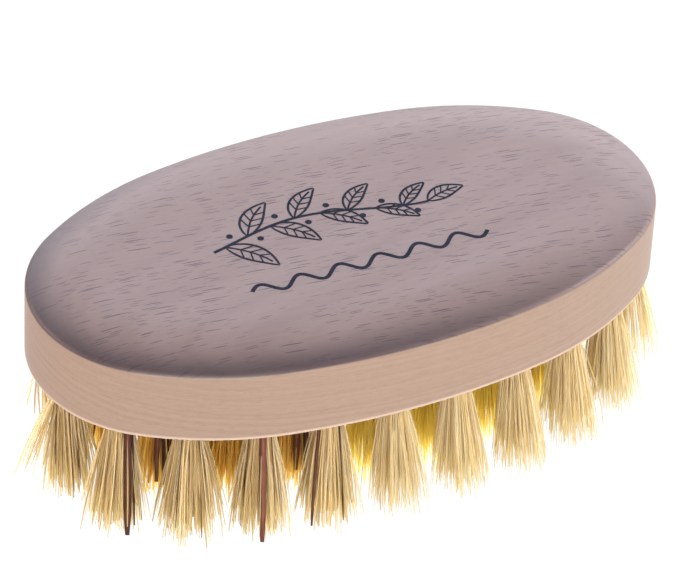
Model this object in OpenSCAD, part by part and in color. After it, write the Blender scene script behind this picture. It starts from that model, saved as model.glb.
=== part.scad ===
// Vegetable brush: an oval beech block, drilled from below, with a tuft of plant fibre in every hole.
// Each tuft is folded over a short flat wire, the anchor, which is driven in and bites into the wood.
// X runs along the block, +Z is up, and the origin lies on the surface that the brush stands on,
// under the middle of the block.

/* [Block] */
// Length of the block
block_l = 135; // [130:1:142]
// Width of the block
block_w = 73.2; // [71.2:1:76.2]
// Thickness of the block at its flat top
block_t = 19.5; // [17.5:0.5:24]
// Radius of the outline at each end
end_r = 27.75; // [26.5:0.25:29]
// Turn of the outline that the end radius takes, from the long axis
end_turn = 55.4; // [52:0.2:58]
// Turn at which the shoulder of the outline gives way to its long side
shoulder_turn = 80.2; // [78:0.2:82]
// Width of the rounded border of the top
crown_w = 14.5; // [12:0.5:18]
// Radius of the border's slow fall towards the rim
crown_r = 44; // [36:1:60]
// Radius of the upper rim
rim_r = 1.5; // [1:0.1:3]
// Radius of the lower rim
foot_r = 0.8; // [0.4:0.1:1.2]

/* [Holes] */
// Diameter of a tuft's hole
hole_d = 5.6; // [5:0.1:6]
// Depth of its straight wall
hole_depth = 9.5; // [8.5:0.5:11]
// Full angle of the drill's point
drill_angle = 118; // [110:2:140]

/* [Tufts] */
// Length of the bristles below the block
bristle_l = 25.5; // [21.5:1:31.5]
// Distance of the outer row of holes from the side of the block
rim_inset = 5; // [4.6:0.1:5.6]
// Distance from the outer row to the middle row
row_gap = 13.2; // [12:0.2:14]
// Holes in the outer row
rim_count = 22; // [18:2:22]
// Shift of the outer row along itself, as a share of its spacing
rim_start = 0.27; // [0:0.01:0.5]
// Holes in the middle row
mid_count = 16; // [12:2:16]
// Shift of the middle row along itself, as a share of its spacing
mid_start = -0.22; // [-0.5:0.01:0]
// Holes in the straight row on the long axis
core_count = 6; // [4:1:6]
// Spacing of the straight row
core_pitch = 14; // [12.5:0.5:14]
// Outward lean of the outer row, in degrees
rim_lean = 4; // [0:1:8]
// Outward lean of the middle row, in degrees
mid_lean = 3; // [0:1:6]
// Distance of the outer strands from a tuft's axis where they leave the block
root_ring = 1.8; // [1.6:0.1:1.9]
// The same distance at the shoulder of a tuft
flare_ring = 3.3; // [2.8:0.1:3.6]
// Length from the block to the shoulder
flare_drop = 6.5; // [4.5:0.5:9]
// The same distance at the tips
tip_ring = 5; // [4:0.2:5.4]
// Width of a strand at the block, from its middle to a corner
root_strand = 0.62; // [0.5:0.02:0.66]
// Width of a strand at its tip, from its middle to a corner
tip_strand = 0.9; // [0.5:0.05:1]
// Greatest length by which a strand falls short of the cut
ragged = 1.5; // [0:0.1:3]
// Place along the block where the coarse mixture gives way to fine fibre
mix_edge = -12; // [-30:1:30]

/* [Anchors] */
// Thickness of the flat anchor wire
anchor_t = 0.35; // [0.3:0.05:0.45]
// Width of the flat anchor wire
anchor_w = 2.2; // [1.8:0.1:2.6]
// Depth to which each end of an anchor bites into the wood
anchor_bite = 0.8; // [0.5:0.1:1]
// Thickness of folded fibre between an anchor and the end of the straight wall
fold_t = 1.2; // [0.8:0.1:1.6]

/* [Fits] */
// Clearance round the packed root of a tuft
root_fit = 0.05; // [0.03:0.01:0.1]
// Clearance round an anchor
anchor_fit = 0.02; // [0.01:0.01:0.05]

/* [Hidden] */
beech = [0.79, 0.68, 0.60];
fine_fibre = [0.90, 0.80, 0.52];
coarse_fibre = [0.74, 0.63, 0.42];
steel = [0.72, 0.73, 0.75];

// How finely curves are divided
end_steps = 20;
shoulder_steps = 8;
side_steps = 8;
foot_steps = 3;
rim_steps = 4;
crown_steps = 6;
cut_over = 1;

// A tuft has a ring of strands with three sides, and one strand with four sides on its axis
ring_strands = 8;
ring_sides = 3;
core_sides = 4;
core_strand = 0.6;

hole_r = hole_d / 2;
point_depth = hole_r / tan(drill_angle / 2);
root_r = hole_r - root_fit;
anchor_l = hole_d + 2 * anchor_bite;
anchor_top = hole_depth - fold_t;

function ray(angle) = [cos(angle), sin(angle)];
function two_digits(n) = str(n < 10 ? "0" : "", n);

// The outline has three radii a quarter, each tangent to the next. The end radius is chosen, and
// the shoulder and side radii close the quarter at half the width, square to the short axis.
end_c = [block_l / 2 - end_r, 0];
gap_x = end_c.x + end_r * cos(end_turn);
gap_y = block_w / 2 - end_r * sin(end_turn);
share_x = cos(end_turn) - cos(shoulder_turn);
share_y = sin(shoulder_turn) - sin(end_turn);
solve = share_x * (1 - sin(shoulder_turn)) - share_y * cos(shoulder_turn);
shoulder_r = (gap_x * (1 - sin(shoulder_turn)) - gap_y * cos(shoulder_turn)) / solve;
side_r = (share_x * gap_y - share_y * gap_x) / solve;
shoulder_c = end_c + (end_r - shoulder_r) * ray(end_turn);
side_c = shoulder_c + (shoulder_r - side_r) * ray(shoulder_turn);

// Each arc of the quarter is its centre, radius, first angle, last angle and number of steps
arcs = [
    [end_c, end_r, 0, end_turn, end_steps / 2],
    [shoulder_c, shoulder_r, end_turn, shoulder_turn, shoulder_steps],
    [side_c, side_r, shoulder_turn, 90, side_steps / 2]
];

function on_arc(arc, inset, angle) = arc[0] + (arc[1] - inset) * ray(angle);

// The quarter from the long axis to just before the short axis, moved inwards by the inset
function quarter(inset) = [
    for (arc = arcs)
        for (i = [0 : arc[4] - 1])
            on_arc(arc, inset, arc[2] + (arc[3] - arc[2]) * i / arc[4])
];

function half(inset) = let (q = quarter(inset), n = len(q)) concat(
    q,
    [on_arc(arcs[2], inset, 90)],
    [for (i = [n - 1 : -1 : 1]) [-q[i].x, q[i].y]]
);

function oval(inset) = let (h = half(inset)) concat(h, [for (p = h) -p]);

// The block's section from its lower face to its flat top, as inset and height
crown_angle = asin((crown_w - rim_r) / (crown_r - rim_r));
rim_z = block_t - crown_r + (crown_r - rim_r) * cos(crown_angle);
foot_section = [
    for (i = [0 : foot_steps]) let (a = 90 * i / foot_steps) foot_r * [1 - sin(a), 1 - cos(a)]
];
rim_section = [
    for (i = [0 : rim_steps - 1]) let (a = 90 - (90 - crown_angle) * i / rim_steps)
        [rim_r * (1 - sin(a)), rim_z + rim_r * cos(a)]
];
crown_section = [
    for (i = [0 : crown_steps]) let (a = crown_angle * (1 - i / crown_steps))
        [crown_w - crown_r * sin(a), block_t - crown_r * (1 - cos(a))]
];
section = concat(foot_section, rim_section, crown_section);

// A closed skin over rings of equal length, first the lowest, each turning to the left from above
function ring_band(first, n) = [
    for (i = [0 : n - 1]) let (j = (i + 1) % n) [first + i, first + n + i, first + n + j, first + j]
];

module loft(rings) {
    n = len(rings[0]);
    last = len(rings) - 1;
    polyhedron(
        points = [for (ring = rings) each ring],
        faces = concat(
            [[for (i = [0 : n - 1]) i]],
            [for (k = [0 : last - 1]) each ring_band(k * n, n)],
            [[for (i = [n - 1 : -1 : 0]) last * n + i]]
        )
    );
}

// The place some share of the way round a row that keeps one inset, as x, y and outward direction.
// Shares under 0 or over 1 go on round the row.
function arc_length(arc, inset) = (arc[1] - inset) * (arc[3] - arc[2]) * PI / 180;

function quarter_stop(inset, run, k = 0) = let (arc = arcs[k], length = arc_length(arc, inset))
    k < 2 && run > length
        ? quarter_stop(inset, run - length, k + 1)
        : let (a = arc[2] + run / length * (arc[3] - arc[2])) concat(on_arc(arc, inset, a), [a]);

function row_stop(inset, place) = let (
    share = place - floor(place),
    q = floor(4 * share),
    part = 4 * share - q,
    quarter_l = arc_length(arcs[0], inset) + arc_length(arcs[1], inset) + arc_length(arcs[2], inset),
    p = quarter_stop(inset, (q % 2 == 0 ? part : 1 - part) * quarter_l),
    side_x = q == 0 || q == 3 ? 1 : -1,
    side_y = q < 2 ? 1 : -1
) [side_x * p.x, side_y * p.y, atan2(side_y * sin(p[2]), side_x * cos(p[2]))];

// Every tuft is its name, its place, its outward direction and its lean
rim_tufts = [
    for (i = [0 : rim_count - 1]) let (p = row_stop(rim_inset, (i + rim_start) / rim_count))
        [str("tuft_rim_", two_digits(i + 1)), [p.x, p.y], p[2], rim_lean]
];
mid_tufts = [
    for (i = [0 : mid_count - 1]) let (p = row_stop(rim_inset + row_gap, (i + mid_start) / mid_count))
        [str("tuft_mid_", two_digits(i + 1)), [p.x, p.y], p[2], mid_lean]
];
core_tufts = [
    for (i = [0 : core_count - 1]) let (x = core_pitch * ((core_count - 1) / 2 - i))
        [str("tuft_core_", two_digits(i + 1)), [x, 0], x < 0 ? 180 : 0, 0]
];
tufts = concat(rim_tufts, mid_tufts, core_tufts);

// One hole, up from its mouth, with the point that the drill leaves
module tuft_hole() {
    rotate_extrude($fn = 48)
        polygon([
            [0, -cut_over],
            [hole_r, -cut_over],
            [hole_r, hole_depth],
            [0, hole_depth + point_depth]
        ]);
}

// The pair of narrow tracks that an anchor cuts on its way in
module anchor_track() {
    track_t = anchor_t + 2 * anchor_fit;
    track_l = anchor_l + 2 * anchor_fit;
    track_top = anchor_top + anchor_fit;
    translate([-track_t / 2, -track_l / 2, -cut_over])
        cube([track_t, track_l, track_top + cut_over]);
}

module block() {
    color(beech)
        translate([0, 0, bristle_l])
            difference() {
                loft([for (s = section) [for (p = oval(s[0])) [p.x, p.y, s[1]]]]);
                for (t = tufts)
                    translate([t[1].x, t[1].y, 0]) {
                        tuft_hole();
                        anchor_track();
                    }
            }
}

module anchor(grow = 0) {
    size = [anchor_t, anchor_l, anchor_w] + 2 * grow * [1, 1, 1];
    translate([-size.x / 2, -size.y / 2, anchor_top - anchor_w - grow])
        cube(size);
}

module anchors() {
    color(steel)
        for (t = tufts)
            translate([t[1].x, t[1].y, bristle_l])
                anchor();
}

// The rings of one strand from the block down, round a middle line that flares and then runs straight
strand_drops = [0, flare_drop, bristle_l];
strand_rings = [root_ring, flare_ring, tip_ring];
levels = len(strand_drops);
last_level = levels - 1;

function strand_width(drop, wide) = wide + (tip_strand - root_strand) * drop / bristle_l;

// Every other strand reaches the cut, and the rest fall short by lengths that two odd turns scatter
strand_turn = 137.5;
tuft_turn = 61;
function strand_end(i, seed) = let (wave = strand_turn * (i + 1) + tuft_turn * seed)
    i % 2 == 0 ? 0 : ragged * pow(sin(wave), 2);

function strand(sides, middle, spread, wide, lean, start, short) = [
    for (k = [0 : last_level]) let (
        drop = strand_drops[k] - (k == last_level ? short : 0),
        axis = [drop * tan(lean), 0] + (strand_rings[k] * spread) * middle
    )
        for (s = [0 : sides - 1])
            let (p = axis + strand_width(drop, wide) * ray(start + 360 * s / sides)) [p.x, p.y, -drop]
];

function strand_walls(first, sides) = concat(
    [
        for (k = [0 : last_level - 1])
            for (s = [0 : sides - 1])
                let (a = first + k * sides + s, b = first + k * sides + (s + 1) % sides)
                    [a, b, b + sides, a + sides]
    ],
    [[for (s = [0 : sides - 1]) first + last_level * sides + s]]
);

// One tuft in its own frame, with its mouth at zero and its outward direction along X. It is a single
// closed skin: the packed root, the ring strands, and the strand on the axis.
module tuft_body(lean, seed) {
    n = ring_strands;
    step = 360 / n;
    rim = [for (j = [0 : n - 1]) root_r * ray((j - 0.5) * step)];
    apex = 2 * n;
    ring_first = apex + 1;
    ring_size = levels * ring_sides;
    core_first = ring_first + n * ring_size;
    points = concat(
        [for (p = rim) [p.x, p.y, 0]],
        [for (p = rim) [p.x, p.y, hole_depth - root_fit]],
        [[0, 0, hole_depth + point_depth - 2 * root_fit]],
        [
            for (j = [0 : n - 1])
                each strand(ring_sides, ray(j * step), 1, root_strand, lean, j * step + 180,
                    strand_end(j, seed))
        ],
        strand(core_sides, [0, 0], 0, core_strand, lean, 0, 0)
    );
    faces = [
        for (j = [0 : n - 1])
            let (
                i = (j + 1) % n,
                here = ring_first + j * ring_size,
                next = ring_first + i * ring_size,
                q = core_first + floor(j / 2),
                r = core_first + (floor(j / 2) + 1) % core_sides
            )
                each concat(
                    [[n + j, n + i, i, j], [apex, n + i, n + j]],
                    [[j, i, here + 2], [j, here + 2, here + 1], [i, next + 1, here + 2]],
                    [[here + 2, next + 1, next], [here + 2, next, here]],
                    j % 2 == 0
                        ? [[here, next, q], [next, r, q]]
                        : [[here, next, r]],
                    strand_walls(here, ring_sides)
                )
    ];
    polyhedron(points = points, faces = concat(faces, strand_walls(core_first, core_sides)));
}

module tuft(t, seed) {
    color(t[1].x < mix_edge ? coarse_fibre : fine_fibre)
        translate([t[1].x, t[1].y, bristle_l])
            difference() {
                rotate([0, 0, t[2]])
                    tuft_body(t[3], seed);
                anchor(grow = anchor_fit);
            }
}

block();
anchors();
for (i = [0 : len(tufts) - 1])
    tuft(tufts[i], i);
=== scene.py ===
"""Looks of an oval beech vegetable brush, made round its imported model. Lengths are in metres."""

import math
import random

import bmesh
import bpy
from mathutils import Matrix, Vector


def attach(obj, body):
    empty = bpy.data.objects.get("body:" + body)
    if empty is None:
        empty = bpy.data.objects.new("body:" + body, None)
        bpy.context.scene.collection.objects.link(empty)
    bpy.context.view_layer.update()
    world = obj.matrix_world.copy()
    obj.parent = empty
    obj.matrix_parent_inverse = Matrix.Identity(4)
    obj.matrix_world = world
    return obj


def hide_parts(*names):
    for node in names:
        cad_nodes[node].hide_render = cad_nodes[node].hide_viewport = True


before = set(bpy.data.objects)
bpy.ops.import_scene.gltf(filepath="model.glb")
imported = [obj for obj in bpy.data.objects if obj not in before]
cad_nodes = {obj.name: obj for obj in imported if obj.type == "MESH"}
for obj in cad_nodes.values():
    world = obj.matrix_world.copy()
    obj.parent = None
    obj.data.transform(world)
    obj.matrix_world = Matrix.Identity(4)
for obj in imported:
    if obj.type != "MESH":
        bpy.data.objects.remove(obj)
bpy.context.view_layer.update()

MM = 0.001
BRISTLE_L = 25.5 * MM
# Level directions from the brush towards the camera, and to the camera's right
FRONT, ASIDE = Vector((-0.454, -0.891, 0)), Vector((0.891, -0.454, 0))
# Strands of a tuft, and how many of a coarse tuft's are dark stalk
STRANDS, STALKS = 280, 9
# Tufts that leave the block nearer -X than this are coarse
MIX_EDGE = -12 * MM


# Materials


class Wire:
    """A socket of a material. Sums and products of wires and numbers add Math nodes."""

    def __init__(self, paint, socket):
        self.paint, self.socket = paint, socket

    def _with(self, operation, *others):
        return self.paint.math(operation, self, *others)

    def __add__(self, other):
        return self._with("ADD", other)

    def __sub__(self, other):
        return self._with("SUBTRACT", other)

    def __mul__(self, other):
        return self._with("MULTIPLY", other)

    def __truediv__(self, other):
        return self._with("DIVIDE", other)

    def __rsub__(self, other):
        return self.paint.math("SUBTRACT", other, self)

    __radd__, __rmul__ = __add__, __mul__

    def step(self, low, high):
        """0 below low, 1 above high, smooth in between."""
        settings = {"interpolation_type": "SMOOTHSTEP"}
        values = {"Value": self, "From Min": low, "From Max": high}
        return self.paint.node("ShaderNodeMapRange", settings, values).out("Result")


class Made:
    """A node of a material."""

    def __init__(self, paint, node):
        self.paint, self.node = paint, node

    def out(self, name=0):
        return Wire(self.paint, self.node.outputs[name])


class Paint:
    """A material, or the world, under construction."""

    def __init__(self, owner):
        self.owner = owner
        owner.use_nodes = True
        self.tree = owner.node_tree
        self.tree.nodes.clear()

    def node(self, kind, settings=None, values=None):
        node = self.tree.nodes.new(kind)
        for name, value in (settings or {}).items():
            if name == "stops":
                self.set_stops(node.color_ramp, value)
            else:
                setattr(node, name, value)
        for name, value in (values or {}).items():
            if isinstance(value, Wire):
                self.tree.links.new(value.socket, node.inputs[name])
            else:
                node.inputs[name].default_value = value
        return Made(self, node)

    @staticmethod
    def set_stops(ramp, stops):
        while len(ramp.elements) < len(stops):
            ramp.elements.new(0.5)
        for element, (place, colour) in zip(ramp.elements, stops):
            element.position = place
            element.color = colour

    def math(self, operation, *values):
        return self.node("ShaderNodeMath", {"operation": operation}, dict(enumerate(values))).out()

    def xyz(self, wire):
        made = self.node("ShaderNodeSeparateXYZ", None, {"Vector": wire})
        return [made.out(name) for name in "XYZ"]

    def join(self, x, y, z):
        return self.node("ShaderNodeCombineXYZ", None, {"X": x, "Y": y, "Z": z}).out()

    def object_place(self):
        return self.node("ShaderNodeTexCoord").out("Object")

    def noise(self, place, scale=1.0, detail=2.0, rough=0.5, dimensions="3D"):
        values = {"Scale": scale, "Detail": detail, "Roughness": rough}
        values["W" if dimensions == "1D" else "Vector"] = place
        settings = {"noise_dimensions": dimensions}
        return self.node("ShaderNodeTexNoise", settings, values).out("Fac")

    def ramp(self, share, stops):
        return self.node("ShaderNodeValToRGB", {"stops": stops}, {"Fac": share}).out("Color")

    def blend(self, share, first, second, how="MIX"):
        settings = {"data_type": "RGBA", "blend_type": how, "clamp_factor": True}
        made = self.node("ShaderNodeMix", settings)
        for socket, value in ((0, share), (6, first), (7, second)):
            target = made.node.inputs[socket]
            if isinstance(value, Wire):
                self.tree.links.new(value.socket, target)
            else:
                target.default_value = value
        return Wire(self, made.node.outputs[2])

    def bump(self, height, depth):
        values = {"Height": height, "Distance": depth, "Strength": 1.0}
        return self.node("ShaderNodeBump", None, values).out("Normal")

    def finish(self, shader, output="ShaderNodeOutputMaterial"):
        self.node(output, None, {"Surface": shader})
        return self.owner


def material_paint(name):
    return Paint(bpy.data.materials.new(name))


def tone(red, green, blue):
    """A colour as a screen shows it, 0 to 255, in the linear numbers that shaders take."""
    shares = [value / 255 for value in (red, green, blue)]
    return [s / 12.92 if s <= 0.04045 else ((s + 0.055) / 1.055) ** 2.4 for s in shares] + [1.0]


BEECH_DARK, BEECH_PALE = tone(181, 152, 132), tone(187, 159, 139)
BEECH_SHINE, BEECH_PORE = tone(200, 175, 157), tone(160, 127, 110)
# The top's colours are a darker, cooler copy of the wall's: painted shade
BEECH_TOP_SHADED_DARK, BEECH_TOP_SHADED_PALE = tone(170, 143, 140), tone(180, 154, 151)
# The ray flecks' colour, and the painted highlight along the lower arris
BEECH_FLECK, BEECH_ARRIS_HIGHLIGHT = tone(92, 66, 78), tone(250, 222, 202)
GRAIN_TURN = math.radians(-6.4)
# The factor of the painted shade that darkens the rim band of the top
PAINTED_RIM_SHADE = (0.29, 0.28, 0.33, 1)
WALL_TOP, FLAT_TOP = BRISTLE_L + 16 * MM, BRISTLE_L + 19.5 * MM


def dashes(paint, along, across, share, least=0.05, most=0.24):
    """Scattered thin dashes, one at most in each cell: 1 inside them. Share is how many cells have one."""
    values = {"Vector": paint.join(along, across, 0.0), "Scale": 1.0}
    cells = paint.node("ShaderNodeTexVoronoi", {"voronoi_dimensions": "2D"}, values)
    size, chance, _ = paint.xyz(cells.out("Color"))
    reach = size * (most - least) + least
    inside = (reach - cells.out("Distance")).step(-0.01, 0.035)
    return inside * (share - chance).step(0, 0.02)


def beech():
    """Steamed beech: level rings round a far pith, and short dark ray flecks on the flat-sawn top, with
    painted shade on the top and its rim band, and a painted highlight on the lower arris.
    """
    paint = material_paint("beech")
    place = paint.object_place()
    x, y, z = paint.xyz(place)
    along = x * math.cos(GRAIN_TURN) + y * math.sin(GRAIN_TURN)
    across = y * math.cos(GRAIN_TURN) - x * math.sin(GRAIN_TURN)
    drift = paint.noise(paint.join(x * 9, y * 40, z * 40)) - 0.5
    pith_y = y - 0.03
    pith_z = z + 0.26 + x * 0.03
    ring = paint.math("SQRT", pith_y * pith_y + pith_z * pith_z) + drift * 0.0012
    rings = paint.noise(ring * 1100, dimensions="1D")
    streaks = paint.noise(paint.join(along * 60, across * 1700, z * 1500), detail=3, rough=0.6)
    shade = paint.noise(paint.join(along * 14, across * 60, z * 60), detail=1)
    waver = paint.noise(paint.join(x * 60, y * 60, 0.0), detail=1) * 0.001
    patches = paint.noise(paint.join(along * 30, across * 90, 3.0), detail=1)
    on_top = z.step(WALL_TOP + 0.1 * MM, WALL_TOP + 0.9 * MM)
    many = patches.step(0.3, 0.7) * 0.5 + 0.28
    short = dashes(paint, along * 170, (across + waver) * 2100, many, 0.03, 0.28)
    long = dashes(paint, along * 95 + 40, (across + waver) * 1750, many * 0.7, 0.03, 0.26)
    flecks = paint.math("MAXIMUM", short * 0.7, long) * on_top
    sides = 1 - on_top
    dark_dashes = dashes(paint, x * 300, z * 3200, 0.6, 0.06, 0.3) * sides
    pale_dashes = dashes(paint, x * 220 + 9, z * 2600, 0.6, 0.06, 0.3) * sides
    pores = paint.noise(place, scale=2600, detail=1)
    # Painted shade on the rim band of the top: darker on the camera's side, and lighter at the camera's
    # right
    right = (x * ASIDE.x + y * ASIDE.y).step(0, 60 * MM)
    painted_rim_shade = (FLAT_TOP - 0.25 * MM - z).step(0, 2.0 * MM) * z.step(WALL_TOP + 0.2 * MM, WALL_TOP + 0.6 * MM)
    near = (x * FRONT.x + y * FRONT.y).step(-28 * MM, 16 * MM)
    painted_rim_shade = painted_rim_shade * (1 - right * 0.5) * (near * 0.65 + 0.35)

    wall = paint.ramp(rings, [(0.35, BEECH_DARK), (0.65, BEECH_PALE)])
    # The top takes the darker, cooler copy of the wood's colour: painted shade
    top = paint.ramp(rings, [(0.35, BEECH_TOP_SHADED_DARK), (0.65, BEECH_TOP_SHADED_PALE)])
    colour = paint.blend(on_top, wall, top)
    colour = paint.blend(shade.step(0.35, 0.65) * 0.06, colour, BEECH_TOP_SHADED_DARK)
    colour = paint.blend(streaks.step(0.3, 0.7) * 0.2, colour, BEECH_SHINE)
    colour = paint.blend(pores.step(0.5, 0.75) * 0.12, colour, BEECH_PORE)
    colour = paint.blend(dark_dashes * 0.26, colour, BEECH_PORE)
    colour = paint.blend(pale_dashes * 0.26, colour, BEECH_SHINE)
    colour = paint.blend(flecks * (0.86 - painted_rim_shade * 0.4), colour, BEECH_FLECK)
    # Painted shade on the rim band of the top
    colour = paint.blend(painted_rim_shade, colour, PAINTED_RIM_SHADE, "MULTIPLY")
    # Painted highlight along the lower arris, where light from below catches it
    colour = paint.blend((BRISTLE_L + 1.3 * MM - z).step(0, 0.6 * MM) * 0.8, colour, BEECH_ARRIS_HIGHLIGHT)
    height = streaks * 0.5 + pores * 0.3 - flecks * 0.4
    values = {
        "Base Color": colour,
        "Roughness": 0.40 + streaks * 0.1,
        "Specular IOR Level": 0.5,
        "Normal": paint.bump(height, 0.00002),
    }
    return paint.finish(paint.node("ShaderNodeBsdfPrincipled", None, values).out())


def fibre(name, stops, root, tip, glow, through, stalk_stops=None):
    """Plant fibre that lets light through. Each strand has a column of the map: its tone is drawn
    by the column, and the columns at the left of the map are dark stalk."""
    paint = material_paint(name)
    u, v, _ = paint.xyz(paint.node("ShaderNodeUVMap", {"uv_map": "OFBake"}).out())
    column = paint.math("FLOOR", u * STRANDS)
    draw = paint.node("ShaderNodeTexWhiteNoise", {"noise_dimensions": "1D"}, {"W": column}).out("Value")
    along = paint.noise(paint.join(column, v * 6, 0.0))
    colour = paint.ramp(draw * 0.8 + along * 0.2, stops)
    # Painted shade: darker and yellower towards the root, under the block. Painted highlight: paler towards
    # the tips
    colour = paint.blend((1 - v).step(0.6, 1.0) * 0.4, colour, root)
    colour = paint.blend(v.step(0.6, 1.0) * 0.55, colour, tip)
    passed = (draw * 0.3 + 0.85) * through
    if stalk_stops:
        stalk = paint.ramp(along * 0.5 + draw * 0.5, stalk_stops)
        is_stalk = (STALKS / STRANDS - u).step(-0.0001, 0.0001)
        colour = paint.blend(is_stalk, colour, stalk)
        passed = passed * (1 - is_stalk * 0.95)
    values = {
        "Base Color": colour,
        "Roughness": 0.5,
        "Specular IOR Level": 0.35,
    }
    face = paint.node("ShaderNodeBsdfPrincipled", None, values).out()
    back = paint.node("ShaderNodeBsdfTranslucent", None, {"Color": glow}).out()
    mix = paint.node("ShaderNodeMixShader", None, {0: passed, 1: face, 2: back})
    return paint.finish(mix.out())


def steel():
    paint = material_paint("anchor_wire")
    place = paint.object_place()
    grain = paint.noise(place, scale=900, detail=3)
    values = {
        "Base Color": paint.ramp(grain, [(0.3, tone(176, 178, 182)), (0.7, tone(205, 207, 210))]),
        "Metallic": 1.0,
        "Roughness": 0.25 + grain * 0.2,
        "Normal": paint.bump(grain, 0.00001),
    }
    return paint.finish(paint.node("ShaderNodeBsdfPrincipled", None, values).out())


def ink():
    """Thin stamped ink that lets a little of the grain through."""
    paint = material_paint("ink")
    x, y, z = paint.xyz(paint.object_place())
    cover = paint.noise(paint.join(x * 500, y * 1200, z * 500))
    values = {
        "Base Color": paint.ramp(cover, [(0.35, tone(20, 26, 42)), (0.75, tone(46, 52, 72))]),
        "Roughness": 0.7,
        "Specular IOR Level": 0.15,
        "Normal": paint.bump(cover, 0.00002),
    }
    return paint.finish(paint.node("ShaderNodeBsdfPrincipled", None, values).out())


# Shapes


def new_piece(name, bm, material, replaces=()):
    mesh = bpy.data.meshes.new(name)
    bm.to_mesh(mesh)
    bm.free()
    mesh.materials.append(material)
    piece = bpy.data.objects.new(name, mesh)
    bpy.context.scene.collection.objects.link(piece)
    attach(piece, "root")
    if replaces:
        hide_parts(*replaces)
    return piece


def node_points(name):
    return [vertex.co for vertex in cad_nodes[name].data.vertices]


tuft_names = sorted(name for name in cad_nodes if name.startswith("tuft_"))


def tuft_axis(name):
    """Where a tuft leaves the block, and how far its tips stand off from there."""
    points = node_points(name)
    top = max(points, key=lambda p: p.z)
    tips = [p for p in points if p.z < 2 * MM]
    middle = sum(tips, Vector()) / len(tips)
    return Vector((top.x, top.y, BRISTLE_L)), Vector((middle.x - top.x, middle.y - top.y, 0))


# The block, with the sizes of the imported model
BLOCK_L, BLOCK_W, BLOCK_T = 135 * MM, 73.2 * MM, 19.5 * MM
END_R, END_TURN, SHOULDER_TURN = 27.75 * MM, math.radians(55.4), math.radians(80.2)
CROWN_W, CROWN_R, RIM_R, FOOT_R = 14.5 * MM, 44 * MM, 1.5 * MM, 0.8 * MM
HOLE_R, HOLE_DEPTH, POINT_DEPTH = 2.8 * MM, 9.5 * MM, 1.68 * MM


def outline_arcs():
    """The quarter's three tangent arcs, each a centre and the turn that it takes."""
    end_x = BLOCK_L / 2 - END_R
    gap_x = end_x + END_R * math.cos(END_TURN)
    gap_y = BLOCK_W / 2 - END_R * math.sin(END_TURN)
    share_x = math.cos(END_TURN) - math.cos(SHOULDER_TURN)
    share_y = math.sin(SHOULDER_TURN) - math.sin(END_TURN)
    left = 1 - math.sin(SHOULDER_TURN)
    solve = share_x * left - share_y * math.cos(SHOULDER_TURN)
    shoulder_r = (gap_x * left - gap_y * math.cos(SHOULDER_TURN)) / solve
    side_r = (share_x * gap_y - share_y * gap_x) / solve
    end = Vector((end_x, 0, 0))
    along = Vector((math.cos(END_TURN), math.sin(END_TURN), 0))
    shoulder = end + (END_R - shoulder_r) * along
    along = Vector((math.cos(SHOULDER_TURN), math.sin(SHOULDER_TURN), 0))
    side = shoulder + (shoulder_r - side_r) * along
    return [
        (end, END_TURN, 30),
        (shoulder, SHOULDER_TURN - END_TURN, 18),
        (side, math.pi / 2 - SHOULDER_TURN, 12),
    ]


def turned(bm, geom, centre, axis, angle, steps):
    made = bmesh.ops.spin(bm, geom=geom, cent=centre, axis=axis, angle=angle, steps=steps)
    return made["geom_last"]


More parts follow.
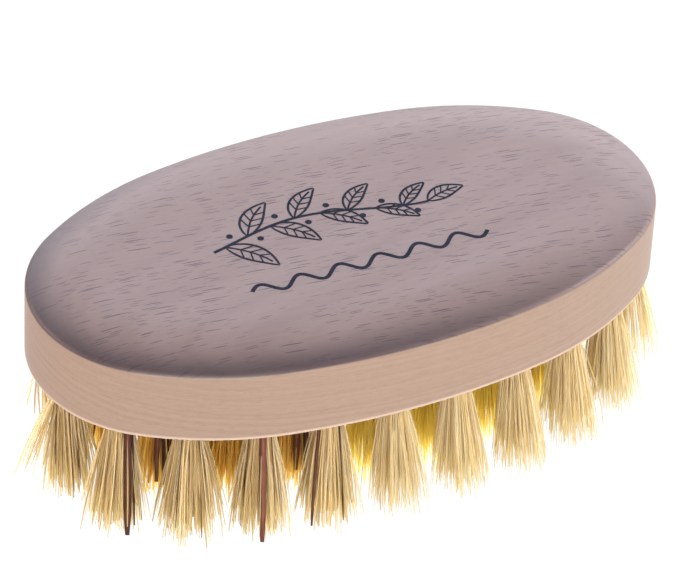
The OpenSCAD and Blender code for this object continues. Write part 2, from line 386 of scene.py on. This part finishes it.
def make_block():
    bm = bmesh.new()
    crown_angle = math.asin((CROWN_W - RIM_R) / (CROWN_R - RIM_R))
    rim_z = BLOCK_T - CROWN_R + (CROWN_R - RIM_R) * math.cos(crown_angle)
    tip = Vector((BLOCK_L / 2, 0, BRISTLE_L))

    def at(inset, height):
        return tip + Vector((-inset, 0, height))

    last = [bm.verts.new(at(FOOT_R, 0))]
    last = turned(bm, last, at(FOOT_R, FOOT_R), (0, -1, 0), math.pi / 2, 5)
    corner = next(item for item in last if isinstance(item, bmesh.types.BMVert))
    made = bmesh.ops.extrude_vert_indiv(bm, verts=[corner])
    bmesh.ops.translate(bm, verts=made["verts"], vec=(0, 0, rim_z - FOOT_R))
    bmesh.ops.subdivide_edges(bm, edges=made["edges"], cuts=5)
    last = [max(bm.verts, key=lambda v: v.co.z)]
    last = turned(bm, last, at(RIM_R, rim_z), (0, -1, 0), math.pi / 2 - crown_angle, 7)
    last = turned(bm, last, at(CROWN_W, BLOCK_T - CROWN_R), (0, -1, 0), crown_angle, 12)
    bmesh.ops.remove_doubles(bm, verts=bm.verts, dist=1e-7)

    section = bm.verts[:] + bm.edges[:]
    for centre, turn, steps in outline_arcs():
        section = turned(bm, section, centre, (0, 0, 1), turn, steps)
    for axis in "XY":
        bmesh.ops.mirror(bm, geom=bm.verts[:] + bm.edges[:] + bm.faces[:], axis=axis, merge_dist=1e-7)
        bmesh.ops.remove_doubles(bm, verts=bm.verts, dist=1e-7)
    bm.faces.ensure_lookup_table()
    for face in bm.faces:
        face.smooth = True

    border = [edge for edge in bm.edges if edge.is_boundary]
    low_border = [edge for edge in border if edge.verts[0].co.z < BRISTLE_L + FOOT_R]
    high_border = [edge for edge in border if edge.verts[0].co.z > BRISTLE_L + FOOT_R]
    bmesh.ops.edgeloop_fill(bm, edges=high_border)
    mouths = []
    for name in tuft_names:
        root, _ = tuft_axis(name)
        made = bmesh.ops.create_circle(
            bm, segments=24, radius=HOLE_R, matrix=Matrix.Translation(root)
        )
        mouths += {edge for vert in made["verts"] for edge in vert.link_edges}
    bmesh.ops.triangle_fill(bm, edges=low_border + mouths, use_beauty=True, use_dissolve=False)
    made = bmesh.ops.extrude_edge_only(bm, edges=mouths)
    inner = [item for item in made["geom"] if isinstance(item, bmesh.types.BMVert)]
    bmesh.ops.translate(bm, verts=inner, vec=(0, 0, HOLE_DEPTH))
    rims = [item for item in made["geom"] if isinstance(item, bmesh.types.BMEdge)]
    rims = [edge for edge in rims if edge.is_boundary]
    made = bmesh.ops.edgeloop_fill(bm, edges=rims)
    bmesh.ops.recalc_face_normals(bm, faces=bm.faces)
    bmesh.ops.poke(bm, faces=made["faces"], offset=-POINT_DEPTH)
    for edge in mouths:
        edge.smooth = False
    return new_piece("beech_block", bm, beech(), replaces=["block"])


# How many sides a strand has, in how many lengths it bends, and how far it goes up its hole
SIDES, PARTS, SUNK = 3, 5, 4 * MM
# The turn from one strand to the next, which spreads them evenly over the hole
STRAND_TURN = 2.39996
# The first tuft's strands are drawn from this seed, and each further tuft's from the next
FIRST_SEED = 700
# Broad stalks that lie on the front of a coarse tuft: how far along the row and down the tuft they
# stand, their half width, and the length that they lack, in millimetres
BROAD_STALKS = {
    "tuft_rim_12": [(1.6, 0.12, 6.0), (-1.7, 0.12, 9.0)],
    "tuft_rim_13": [(1.6, 0.92, 0.2), (2.4, 0.26, 2.0)],
    "tuft_rim_14": [(1.9, 0.13, 1.5), (-1.3, 0.12, 4.0)],
    "tuft_rim_15": [(2.2, 0.12, 6.0), (-2.0, 0.12, 8.0), (0.6, 0.84, 0.4)],
    "tuft_rim_16": [(-1.7, 0.40, 1.0), (2.1, 0.22, 2.5)],
    "tuft_mid_10": [(-0.2, 0.8, 4.0), (0.9, 0.8, 3.0), (1.8, 0.5, 5.0)],
    "tuft_mid_12": [(-0.3, 0.8, 5.0), (1.0, 0.6, 4.0)],
}
# How far the tips of a tuft are combed, in millimetres to the camera's right and towards the camera
COMBED = {
    "tuft_rim_10": (3.1, -0.5),
    "tuft_rim_11": (6.8, -1.2),
    "tuft_rim_12": (2.4, -0.8),
    "tuft_rim_17": (1.3, 0.0),
    "tuft_rim_18": (1.4, 0.0),
    "tuft_rim_19": (1.4, 0.0),
    "tuft_rim_20": (1.0, 0.0),
    "tuft_rim_21": (0.8, 0.0),
    "tuft_rim_22": (0.5, -0.7),
    "tuft_mid_13": (0.6, 3.0),
    "tuft_mid_14": (0.8, 4.0),
    "tuft_mid_15": (0.8, 4.0),
    "tuft_mid_16": (0.6, 3.5),
}
# Tufts at the ends of the row: which way strands are splayed outwards, how many of them, how wide,
# and the share of the others that are worn short
SPLAYED = {
    "tuft_rim_12": (-1, 28, 1.15, 0.0),
    "tuft_rim_11": (-1, 7, 1.0, 0.85),
    "tuft_rim_22": (1, 24, 0.6, 0.6),
}


def strand_form():
    """A straight strand of width 1 and length 1, with its column of the map."""
    bm = bmesh.new()
    bmesh.ops.create_cone(
        bm, cap_ends=True, segments=SIDES, radius1=1, radius2=1, depth=1,
        matrix=Matrix.Translation((0, 0, 0.5)),
    )
    long_edges = [e for e in bm.edges if abs(e.verts[0].co.z - e.verts[1].co.z) > 0.5]
    bmesh.ops.subdivide_edges(bm, edges=long_edges, cuts=PARTS - 1)
    layer = bm.loops.layers.uv.new("OFBake")
    for face in bm.faces:
        middle = face.calc_center_median()
        flat = abs(face.normal.z) > 0.5
        side = math.floor((math.atan2(middle.y, middle.x) / math.tau % 1) * SIDES)
        for loop in face.loops:
            co = loop.vert.co
            if flat:
                loop[layer].uv = (0.5 + 0.2 * co.x, 0.02 + 0.96 * co.z + 0.01 * co.y)
                continue
            turn = math.atan2(co.y, co.x) - math.atan2(middle.y, middle.x)
            share = math.remainder(turn, math.tau) * SIDES / math.tau + 0.5
            loop[layer].uv = ((side + 0.1 + 0.8 * share) / SIDES, 0.04 + 0.92 * co.z)
        face.smooth = not flat
    mesh = bpy.data.meshes.new("strand_form")
    bm.to_mesh(mesh)
    bm.free()
    return mesh


strand_mesh = strand_form()


def strand_plan(name, rng, coarse):
    """Each strand's start and end round the tuft's axis, bow, missing length, half width and flatness."""
    broad = BROAD_STALKS.get(name, [])
    splay_way, splayed, splay, worn = SPLAYED.get(name, (0, 0, 0, 0.0))
    plan = []
    for k in range(STRANDS):
        turn = k * STRAND_TURN + rng.uniform(-0.3, 0.3)
        ray = Vector((math.cos(turn), math.sin(turn), 0))
        cross = Vector((-ray.y, ray.x, 0))
        stalk = coarse and k < STALKS
        far = rng.uniform(0.3, 0.9) if stalk else math.sqrt((k + 0.5) / STRANDS)
        start = ray * far * (HOLE_R - 0.25 * MM)
        way = rng.uniform(0, math.tau)
        stray = abs(rng.gauss(0, 0.95 if coarse else 0.75)) * MM
        if rng.random() < (0.14 if coarse else 0.08):
            stray += rng.uniform(0.8, 3.2) * MM
        end = start + ray * far * ((2.2 if coarse else 2.6) + far * rng.uniform(0, 1.4)) * MM
        end += Vector((math.cos(way), math.sin(way), 0)) * stray
        bow = (ray * rng.gauss(0, 0.25) + cross * rng.gauss(0, 0.3)) * MM * (0.4 + far)
        short = (rng.random() ** 1.7) * (4.6 if coarse else 3.2) * MM
        half = (rng.uniform(0.11, 0.27) if coarse else rng.uniform(0.08, 0.15)) * MM
        flat = rng.uniform(0.6, 1.0)
        wide_turn = rng.uniform(0, math.tau)
        if stalk:
            half = rng.choice((0.14, 0.2, 0.26)) * MM
            flat = 0.4
        if k >= STRANDS - splayed:
            start = ASIDE * splay_way * rng.uniform(1.2, 2.4) * MM + FRONT * rng.uniform(-1.5, 1.5) * MM
            end = start + ASIDE * splay_way * splay * rng.uniform(2.5, 9.0) * MM
            end += FRONT * rng.uniform(-1, 2) * MM
            short = rng.uniform(2, 14) * MM
        elif rng.random() < worn:
            short = rng.uniform(17, 21) * MM
        if k < len(broad):
            aside, half, short = (value * MM for value in broad[k])
            start = FRONT * (HOLE_R - 0.1 * MM) * math.sqrt(1 - (aside / HOLE_R) ** 2) + ASIDE * aside
            end = start + FRONT * 2.9 * MM + ASIDE * aside * 0.7
            bow = FRONT * 0.25 * MM
            flat = 0.22
            wide_turn = math.atan2(ASIDE.y, ASIDE.x)
        wide_way = Vector((math.cos(wide_turn), math.sin(wide_turn), 0))
        plan.append((start, end - start, bow, short, half * wide_way, flat))
    return plan


def make_tuft(name, rng, coarse, material):
    root, reach = tuft_axis(name)
    aside, front = COMBED.get(name, (0, 0))
    reach = reach + (ASIDE * aside + FRONT * front) * MM
    bm = bmesh.new()
    for k in range(STRANDS):
        bm.from_mesh(strand_mesh)
    bm.verts.ensure_lookup_table()
    bm.faces.ensure_lookup_table()
    layer = bm.loops.layers.uv["OFBake"]
    verts_each, faces_each = len(strand_mesh.vertices), len(strand_mesh.polygons)
    for k, (start, fan, bow, short, wide, flat) in enumerate(strand_plan(name, rng, coarse)):
        thin = Vector((-wide.y, wide.x, 0)) * flat
        for vert in bm.verts[k * verts_each:(k + 1) * verts_each]:
            along_wide, along_thin, t = vert.co
            drop = t * (BRISTLE_L - short + SUNK) - SUNK
            share = max(0.0, drop / BRISTLE_L)
            flare = 1 - (1 - share) ** 1.2
            middle = root + start + reach * share + fan * flare + bow * math.sin(math.pi * share)
            size = 1.0 if t < 0.99 else 0.55
            vert.co = middle + (wide * along_wide + thin * along_thin) * size - Vector((0, 0, drop))
        for face in bm.faces[k * faces_each:(k + 1) * faces_each]:
            for loop in face.loops:
                uv = loop[layer].uv
                uv.x = (k + 0.05 + 0.9 * uv.x) / STRANDS
    return new_piece(name.replace("tuft_", "fibre_"), bm, material, [name])


# The stamped ornament on the flat top: a leafy sprig over a wave, in millimetres. The ink is sunk
# into the wood, has a thickness, and crosses its own lines a layer higher
INK_SUNK, INK_T, INK_LAYER = 0.02, 0.05, 0.004
LEAVES = 8


def ribbon(bm, path, low, high, steps, layer=0):
    """A flat strip along a path, between two distances to its left."""
    made = bmesh.ops.create_grid(bm, x_segments=steps, y_segments=1, size=0.5)
    for vert in made["verts"]:
        u = vert.co.x + 0.5
        here, ahead = Vector(path(u)), Vector(path(u + 0.001))
        run = (ahead - here).normalized()
        off = (high if vert.co.y > 0 else low)(u)
        level = layer * INK_LAYER - INK_SUNK
        vert.co = Vector((here.x - run.y * off, here.y + run.x * off, level)) * MM
        vert.co.z += FLAT_TOP


def leaf(bm, base, turn, length, half):
    """An outline, a midrib and side veins, as drawn with a pen."""
    way = Vector((math.cos(turn), math.sin(turn)))

    def midrib(u):
        sway = 0.08 * length * math.sin(math.pi * u)
        return base[0] + way.x * length * u - way.y * sway, base[1] + way.y * length * u + way.x * sway

    def edge(u):
        return 0.25 + half * max(0.0, math.sin(math.pi * u ** 0.85)) ** 0.9

    def inside(u):
        return max(0.01, edge(u) - 0.5)

    ribbon(bm, midrib, inside, edge, 18, 1)
    ribbon(bm, midrib, lambda u: -edge(u), lambda u: -inside(u), 18, 1)
    ribbon(bm, lambda u: midrib(u * 0.86), lambda u: -0.2, lambda u: 0.2, 10, 2)
    for place in (0.25, 0.42, 0.59):
        for side in (1, -1):
            start = Vector(midrib(place))
            rise = side * (edge(place + 0.15) - 0.3)
            end = Vector(midrib(place + 0.15)) + Vector((-way.y, way.x)) * rise
            ribbon(bm, lambda v: start.lerp(end, v), lambda v: -0.14, lambda v: 0.14, 1, 3)


def stem(u):
    return -28 + 47 * u, 3.6 + 2.6 * math.sin(5.2 * u - 0.6)


def wave(u):
    return -26 + 52 * u, -12.0 + 1.5 * math.sin(math.tau * 6 * u)


def make_ornament():
    bm = bmesh.new()
    ribbon(bm, stem, lambda u: -0.36, lambda u: 0.36 - 0.12 * u, 40)
    ribbon(bm, wave, lambda u: -0.42, lambda u: 0.42, 120)
    for index in range(LEAVES):
        u = 0.06 + index * 0.118
        side = 1 if index % 2 else -1
        length = 12.0 - 0.45 * index
        leaf(bm, stem(u), side * math.radians(50 - 2 * index), length, 2.3 - 0.1 * index)
        x, y = stem(u + 0.045)
        place = Vector((x, y - side * 2.2, -INK_SUNK)) * MM + Vector((0, 0, FLAT_TOP))
        matrix = Matrix.Translation(place)
        bmesh.ops.create_circle(bm, cap_ends=True, segments=16, radius=0.7 * MM, matrix=matrix)
    leaf(bm, stem(1.0), math.radians(12), 9.0, 1.9)
    made = bmesh.ops.extrude_face_region(bm, geom=bm.faces[:])
    raised = [item for item in made["geom"] if isinstance(item, bmesh.types.BMVert)]
    bmesh.ops.translate(bm, verts=raised, vec=(0, 0, INK_T * MM))
    bmesh.ops.recalc_face_normals(bm, faces=bm.faces)
    return new_piece("stamped_ornament", bm, ink())


# Light, floor and camera


CAMERA_TURN = math.radians(-27.0)
PHOTO_W, SENSOR_W = 686, 36
WARM, COOL = (1.0, 0.97, 0.95), (0.82, 0.86, 1.0)
LAMP_FAR, LAMP_AIM = 1.3, Vector((0, 0, 0.03))
# How bright the surroundings are to the camera, where 1 is white, and how much is added to that for
# rays that have passed through a fibre
SEEN, OVERLIT = 1.06, 1.5
# The share of the floor that shows at that strength. It comes to over 1, so no shadow is seen on it
FLOOR_WHITE = 0.97
FLOOR_R = 6


def lamp(name, round_turn, height_turn, size, power, colour):
    """A soft panel that faces the brush, so many degrees round from the camera's side and above the
    floor."""
    data = bpy.data.lights.new(name, "AREA")
    data.shape, data.size, data.size_y = "RECTANGLE", size[0], size[1]
    data.energy, data.color = power, colour
    piece = bpy.data.objects.new(name, data)
    bpy.context.scene.collection.objects.link(piece)
    turn = math.radians(round_turn - 90) + CAMERA_TURN
    rise = math.radians(height_turn)
    way = Vector((math.cos(rise) * math.cos(turn), math.cos(rise) * math.sin(turn), math.sin(rise)))
    piece.location = way * LAMP_FAR
    piece.rotation_mode = "QUATERNION"
    piece.rotation_quaternion = (LAMP_AIM - piece.location).to_track_quat("-Z", "Y")


def white_round(paint):
    """Which rays find bright surroundings instead of the lit studio: the camera's, glossy ones, and
    those through a fibre. Then how bright they find them, which is more through a fibre."""
    path = paint.node("ShaderNodeLightPath")
    through = path.out("Is Transmission Ray")
    seen = paint.math("MAXIMUM", path.out("Is Camera Ray"), path.out("Is Glossy Ray"))
    return paint.math("MAXIMUM", seen, through), through * OVERLIT + SEEN


def make_floor():
    bm = bmesh.new()
    bmesh.ops.create_circle(bm, cap_ends=True, segments=96, radius=FLOOR_R)
    mesh = bpy.data.meshes.new("floor")
    bm.to_mesh(mesh)
    bm.free()
    floor = bpy.data.objects.new("floor", mesh)
    bpy.context.scene.collection.objects.link(floor)
    paint = material_paint("floor")
    matte = paint.node("ShaderNodeBsdfDiffuse", None, {"Color": tone(240, 238, 234)}).out()
    white, strength = white_round(paint)
    glow = paint.node("ShaderNodeEmission", None, {"Color": (1, 1, 1, 1), "Strength": strength}).out()
    mix = paint.node("ShaderNodeMixShader", None, {0: white * FLOOR_WHITE, 1: matte, 2: glow})
    mesh.materials.append(paint.finish(mix.out()))


def make_world():
    """A dim studio that the camera sees as white."""
    world = bpy.data.worlds.new("studio")
    bpy.context.scene.world = world
    paint = Paint(world)
    white, strength = white_round(paint)
    dim = paint.node("ShaderNodeBackground", None, {"Color": tone(232, 236, 248), "Strength": 0.04})
    bright = paint.node("ShaderNodeBackground", None, {"Color": (1, 1, 1, 1), "Strength": strength})
    mix = paint.node("ShaderNodeMixShader", None, {0: white, 1: dim.out(), 2: bright.out()})
    paint.finish(mix.out(), "ShaderNodeOutputWorld")


def make_camera():
    """The photograph's view. Focal length, pan and tilt are given in the photograph's pixels."""
    elevation, roll = math.radians(39.0), math.radians(2.98)
    focal, distance, aim_z = 5000.0, 1.0127, 35.5 * MM
    pan, tilt = math.atan(-0.63 / focal), math.atan(22.6 / focal)
    turn = Matrix.Rotation(CAMERA_TURN, 4, "Z") @ Matrix.Rotation(math.pi / 2 - elevation, 4, "X")
    back = turn @ Vector((0, 0, 1))
    turn = turn @ Matrix.Rotation(roll, 4, "Z")
    turn = turn @ Matrix.Rotation(-pan, 4, "Y") @ Matrix.Rotation(-tilt, 4, "X")
    data = bpy.data.cameras.new("camera")
    data.sensor_width = SENSOR_W
    data.lens = focal / PHOTO_W * SENSOR_W
    camera = bpy.data.objects.new("camera", data)
    bpy.context.scene.collection.objects.link(camera)
    camera.matrix_world = Matrix.Translation(back * distance + Vector((0, 0, aim_z))) @ turn
    bpy.context.scene.camera = camera


def make_lamps():
    lamp("front_light", 0, 4, (1.0, 0.3), 15.9, WARM)
    lamp("right_light", 95, 18, (0.8, 0.4), 9.7, (1.0, 0.99, 0.99))
    lamp("left_light", -95, 18, (0.8, 0.4), 5.8, (1.0, 0.77, 0.67))
    lamp("back_low", 180, 16, (1.2, 0.3), 3.2, COOL)
    lamp("under_light", 180, 2, (1.6, 0.2), 2, (1.0, 0.94, 0.82))
    lamp("back_high", 180, 38, (1.2, 0.5), 6.2, COOL)
    lamp("back_right", 140, 25, (0.8, 0.4), 3.5, COOL)
    lamp("back_left", -140, 25, (0.8, 0.4), 2.6, COOL)


def make_tufts():
    fine = fibre(
        "fine_fibre",
        [(0.1, tone(228, 198, 144)), (0.5, tone(255, 240, 206)), (0.9, tone(255, 252, 242))],
        tone(250, 216, 128), tone(255, 244, 198), tone(255, 246, 214), 0.46,
    )
    # The inner rows' fibre is a yellower copy of the outer rows': painted glow of light through the fibre in
    # the gaps
    inner = fibre(
        "inner_fibre_painted_glow",
        [(0.1, tone(255, 222, 130)), (0.5, tone(255, 234, 150)), (0.9, tone(255, 243, 176))],
        tone(255, 224, 120), tone(255, 242, 170), tone(255, 245, 184), 0.96,
    )
    stalk_tones = [(0.2, tone(76, 54, 48)), (0.5, tone(116, 74, 58)), (0.8, tone(168, 104, 84))]
    mixed = fibre(
        "coarse_fibre",
        [(0.15, tone(178, 146, 98)), (0.45, tone(248, 225, 184)), (0.9, tone(255, 251, 240))],
        tone(234, 202, 130), tone(255, 241, 190), tone(255, 245, 210), 0.5, stalk_tones,
    )
    inner_coarse_glow = fibre(
        "inner_coarse_fibre_painted_glow",
        [(0.1, tone(206, 150, 96)), (0.5, tone(244, 206, 134)), (0.9, tone(255, 234, 176))],
        tone(236, 184, 96), tone(255, 238, 170), tone(255, 238, 168), 0.8, stalk_tones,
    )
    for number, name in enumerate(tuft_names):
        root, _ = tuft_axis(name)
        coarse = root.x < MIX_EDGE
        outer = "rim" in name
        # The inner rows take the fibre with the painted glow
        material = (mixed if outer else inner_coarse_glow) if coarse else (fine if outer else inner)
        make_tuft(name, random.Random(FIRST_SEED + number), coarse, material)


def dress_anchors():
    wire = steel()
    for place in cad_nodes["anchors"].material_slots:
        place.material = wire


make_camera()
make_world()
make_floor()
make_lamps()
make_block()
make_ornament()
make_tufts()
dress_anchors()

bpy.context.scene.view_settings.view_transform = "Standard"
